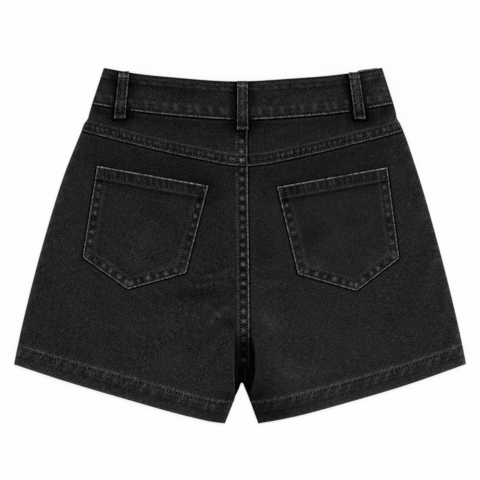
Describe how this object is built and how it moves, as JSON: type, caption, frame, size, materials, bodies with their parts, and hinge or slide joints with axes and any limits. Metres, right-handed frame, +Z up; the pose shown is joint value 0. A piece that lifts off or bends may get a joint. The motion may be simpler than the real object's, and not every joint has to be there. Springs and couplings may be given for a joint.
{
  "type": "denim skort",
  "caption": "Black denim skort laid flat with its back up: A-line shorts legs, yokes, patch pockets, belt loops and a plain front skirt panel.",
  "frame": {"origin": "on the table, under the middle of the garment's length and width", "axes": "+X to the wearer's right (the back faces up), +Y towards the waistband, +Z up from the table"},
  "size_m": [0.564, 0.4442, 0.0094],
  "materials": {
    "denim": "black cotton twill, washed, with greyed folded edges and puckered seams",
    "thread": "black tonal topstitching",
    "button_metal": "dark plain metal"
  },
  "bodies": {
    "root": {"back_left": "denim", "back_right": "denim", "yoke_left": "denim", "yoke_right": "denim", "back_pocket_left": "denim", "back_pocket_right": "denim", "front_left": "denim", "front_right": "denim", "skirt_panel": "denim", "waistband": "denim", "loop_back_left": "denim", "loop_back_centre": "denim", "loop_back_right": "denim", "loop_front_left": "denim", "loop_front_right": "denim", "button": "button_metal"}
  },
  "joints": []
}
